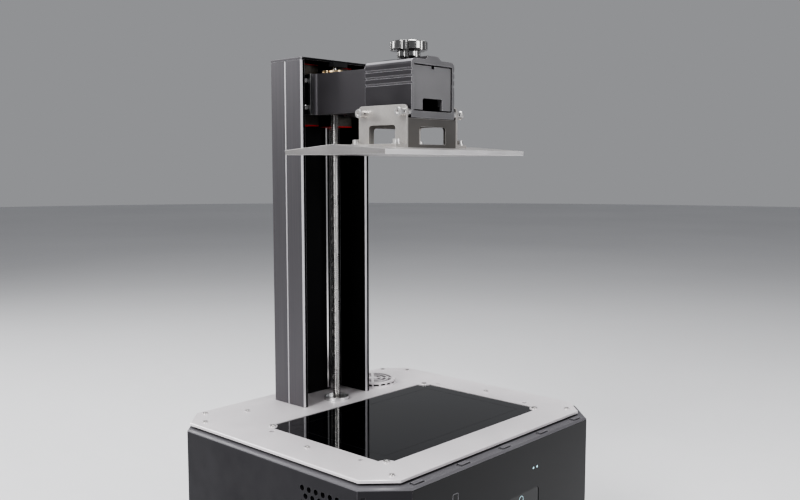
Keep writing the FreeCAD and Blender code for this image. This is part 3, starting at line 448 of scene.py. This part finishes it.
def rounded_outline(x0, x1, z0, z1, radius, steps=6):
    """Corner-rounded rectangle as a list of points, anticlockwise."""
    points = []
    corners = [(x1 - radius, z0 + radius, -90), (x1 - radius, z1 - radius, 0),
               (x0 + radius, z1 - radius, 90), (x0 + radius, z0 + radius, 180)]
    for x, z, start in corners:
        for step in range(steps + 1):
            angle = math.radians(start + 90 * step / steps)
            points.append((x + radius * math.cos(angle), z + radius * math.sin(angle)))
    return points


def printed_ring(bm, outer, inner, low, high, place):
    """Closed flat band between two outlines of the same number of points."""
    loops = [[bm.verts.new(place(a, b, depth)) for a, b in outline]
             for outline, depth in ((outer, low), (outer, high), (inner, high), (inner, low))]
    count = len(outer)
    for first, second in zip(loops, loops[1:] + loops[:1]):
        for index in range(count):
            after = (index + 1) % count
            bm.faces.new((first[index], first[after], second[after], second[index]))


def touch_mark():
    """Plain square on the front glass."""
    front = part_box("front_panel")[0][1]

    def place(x, z, depth):
        return (x, front - depth, z)

    bm = bmesh.new()
    printed_ring(bm, rounded_outline(-0.0818, -0.0742, 0.1462, 0.1538, 0.0012),
                 rounded_outline(-0.0812, -0.0748, 0.1468, 0.1532, 0.0008), PRINT_UNDER, PRINT_OVER, place)
    new_piece("touch_mark", bm, "rim_grey", "base")


def home_mark():
    """Small ring on the display, a generic home key."""
    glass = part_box("touch_display")[0][1]
    bm = bmesh.new()
    middle_x, middle_z = 0.019, 0.1205
    rings = [rounded_outline(middle_x - r, middle_x + r, middle_z - r, middle_z + r, r)
             for r in (0.0033, 0.0029)]
    printed_ring(bm, rings[0], rings[1], PRINT_UNDER, PRINT_OVER,
                 lambda x, z, depth: (x, glass - depth, z))
    new_piece("home_mark", bm, "light_white", "base")


def screen_frame_line():
    """Border line just outside the lit area of the screen, which is 198 by 123 mm."""
    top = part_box("screen_glass")[1][2]
    outer = rounded_outline(-0.0993, 0.0993, -0.0858, 0.0378, 0.0012)
    inner = rounded_outline(-0.0990, 0.0990, -0.0855, 0.0375, 0.0010)
    bm = bmesh.new()
    printed_ring(bm, outer, inner, PRINT_UNDER, 0.00003, lambda x, y, depth: (x, y, top + depth))
    new_piece("screen_frame_line", bm, "fan_black", "base")


# radius and height of a low round head, from its edge to the floor of the socket
HEAD_PROFILE = [(2.6, -0.4), (2.6, 0.45), (2.3, 0.95), (1.6, 1.25), (1.25, 1.3), (1.15, 0.5)]


def round_heads(name, places, direction, body):
    """Low button heads with a hexagon socket, standing on a face that looks along a direction."""
    bm = bmesh.new()
    around = 24
    turn = Vector((0, 0, 1)).rotation_difference(Vector(direction))
    for spot in places:
        rings = []
        for radius, height in HEAD_PROFILE:
            ring = []
            for spoke in range(around):
                angle = 2 * math.pi * spoke / around
                corner = math.cos(math.pi / 6) / math.cos(angle % (math.pi / 3) - math.pi / 6)
                reach = radius * (corner if radius < 1.3 else 1.0)
                point = Vector((reach * math.cos(angle), reach * math.sin(angle), height)) * MM
                ring.append(bm.verts.new(Vector(spot) + turn @ point))
            rings.append(ring)
        for lower, upper in zip(rings, rings[1:]):
            for spoke in range(around):
                after = (spoke + 1) % around
                bm.faces.new((lower[spoke], lower[after], upper[after], upper[spoke]))
        bm.faces.new(list(reversed(rings[0])))
        bm.faces.new(rings[-1])
    for face in bm.faces:
        face.smooth = True
    piece = new_piece(name, bm, "screw_steel", body)
    split_sharp(piece, 35)


def case_screws():
    """Screws that close the rear cover of the column, the rear panel and the side panels."""
    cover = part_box("column_rear_cover")[1][1]
    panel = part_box("rear_panel")[1][1]
    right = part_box("right_side_panel")[1][0]
    round_heads("column_cover_screws", [(x, cover, z) for x in (-0.038, 0.038)
                                        for z in (0.195, 0.300, 0.405, 0.510)], (0, 1, 0), "base")
    round_heads("rear_panel_screws", [(x, panel, z) for x in (-0.122, 0.0, 0.122)
                                      for z in (0.018, 0.160)], (0, 1, 0), "base")
    side_places = [(y, 0.022) for y in (-0.105, 0.0, 0.105)]
    round_heads("left_panel_screws", [(-right, y, z) for y, z in side_places], (-1, 0, 0), "base")
    round_heads("right_panel_screws", [(right, y, z) for y, z in side_places], (1, 0, 0), "base")


# ---- floor, light and camera ------------------------------------------------------------------

def floor():
    bpy.ops.mesh.primitive_circle_add(vertices=96, radius=9.0, fill_type="NGON", location=(0, 0, 0))
    ground = bpy.context.object
    ground.name = "floor"
    finish = Finish("floor_paper")
    finish.tones(finish.noise(0.8), (0.70, 0.70, 0.71), (0.74, 0.74, 0.75))
    finish.rough(finish.noise(30), 0.6, 0.75)
    finish.bump(finish.noise(700, 2), 0.0001, 0.2)
    paint(ground, finish.material)


def soft_light(name, place, target, size, watts, colour=(1, 1, 1)):
    data = bpy.data.lights.new(name, "AREA")
    data.shape = "DISK"
    data.size = size
    data.energy = watts
    data.color = colour
    lamp = bpy.data.objects.new(name, data)
    bpy.context.scene.collection.objects.link(lamp)
    lamp.location = place
    lamp.rotation_euler = (Vector(target) - Vector(place)).to_track_quat("-Z", "Y").to_euler()


def studio():
    world = bpy.data.worlds.new("studio")
    bpy.context.scene.world = world
    world.use_nodes = True
    background = world.node_tree.nodes["Background"]
    background.inputs["Color"].default_value = (0.86, 0.87, 0.9, 1)
    background.inputs["Strength"].default_value = 0.30
    middle = (0, 0, 0.3)
    soft_light("key", (-1.7, -0.2, 1.35), middle, 0.9, 30)
    soft_light("fill", (0.6, -2.1, 0.9), middle, 1.2, 13)
    soft_light("top", (0.1, 0.0, 2.0), middle, 1.1, 26)
    soft_light("back", (-0.7, 1.8, 1.2), middle, 1.0, 14)
    settings = bpy.context.scene.view_settings
    settings.view_transform = "AgX"
    settings.look = "AgX - High Contrast"


def camera():
    data = bpy.data.cameras.new("camera")
    data.sensor_width = 36.0
    data.lens = 39.42
    data.clip_start = 0.01
    view = bpy.data.objects.new("camera", data)
    bpy.context.scene.collection.objects.link(view)
    view.location = (-0.632, -0.591, 0.427)
    view.rotation_euler = (math.radians(90 - 5.55), 0, math.radians(-47.54))
    bpy.context.scene.camera = view


paint_frame()
for edge_width, names in SOFT_EDGES.items():
    for node_name in names:
        soften(NODES[node_name], edge_width)
lead_screw_thread()
touch_mark()
home_mark()
screen_frame_line()
case_screws()
floor()
studio()
camera()
